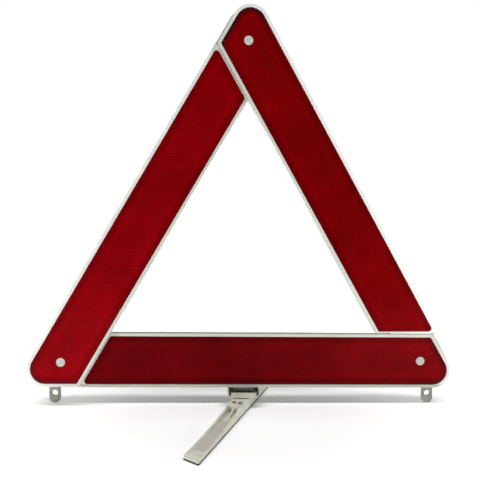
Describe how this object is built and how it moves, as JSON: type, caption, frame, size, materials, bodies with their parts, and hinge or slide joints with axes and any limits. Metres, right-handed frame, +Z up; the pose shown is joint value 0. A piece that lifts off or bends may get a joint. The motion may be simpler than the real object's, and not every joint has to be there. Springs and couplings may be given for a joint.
{
  "type": "warning triangle",
  "caption": "Folding roadside warning triangle: red reflector arms in pale frames, riveted at the corners, on a long foot that swivels under the base arm.",
  "frame": {"origin": "on the ground, straight under the pivot of the foot, at the middle of the sole", "axes": "+X along the base arm to the right as oncoming traffic sees it, +Y away from oncoming traffic, +Z up"},
  "size_m": [0.4283, 0.2364, 0.3938],
  "materials": {
    "white_plastic": "satin",
    "red_lens": "gloss",
    "rivet_plastic": "satin",
    "grey_plastic": "satin",
    "beige_plastic": "satin",
    "black_rubber": "matte",
    "slip_plastic": "satin",
    "zinc_steel": "satin"
  },
  "bodies": {
    "base_arm": {"base_frame": "white_plastic", "base_reflector": "red_lens", "corner_snap_stud": "rivet_plastic", "corner_snap_cap": "rivet_plastic", "corner_catch": "grey_plastic", "left_ground_tab": "grey_plastic", "right_ground_tab": "grey_plastic", "foot_bracket": "grey_plastic", "bracket_screws": "zinc_steel", "foot_pin": "zinc_steel", "foot_pin_retainer": "zinc_steel", "foot_washer": "zinc_steel"},
    "left_arm": {"left_frame": "white_plastic", "left_reflector": "red_lens", "left_pivot_rivet": "rivet_plastic", "left_pivot_washer": "slip_plastic", "left_pivot_cap": "rivet_plastic"},
    "right_arm": {"right_frame": "white_plastic", "right_reflector": "red_lens", "top_pivot_rivet": "rivet_plastic", "top_pivot_washer": "slip_plastic", "top_pivot_cap": "rivet_plastic"},
    "foot": {"foot_bar": "beige_plastic", "foot_sole": "black_rubber"}
  },
  "joints": [
    {"name": "left_fold", "type": "hinge", "parent": "base_arm", "child": "left_arm", "pos_m": [-0.1815, -0.0038, 0.04509], "axis": [0, 1, 0], "range_deg": [0, 60]},
    {"name": "right_fold", "type": "hinge", "parent": "left_arm", "child": "right_arm", "pos_m": [0, -0.00497, 0.35946], "axis": [-0.0242, 0.9996, 0.0139], "range_deg": [0, 60]},
    {"name": "foot_swivel", "type": "hinge", "parent": "base_arm", "child": "foot", "pos_m": [0, 0, 0.005], "axis": [0, 0, 1], "range_deg": [-68.4, 21.6]}
  ]
}
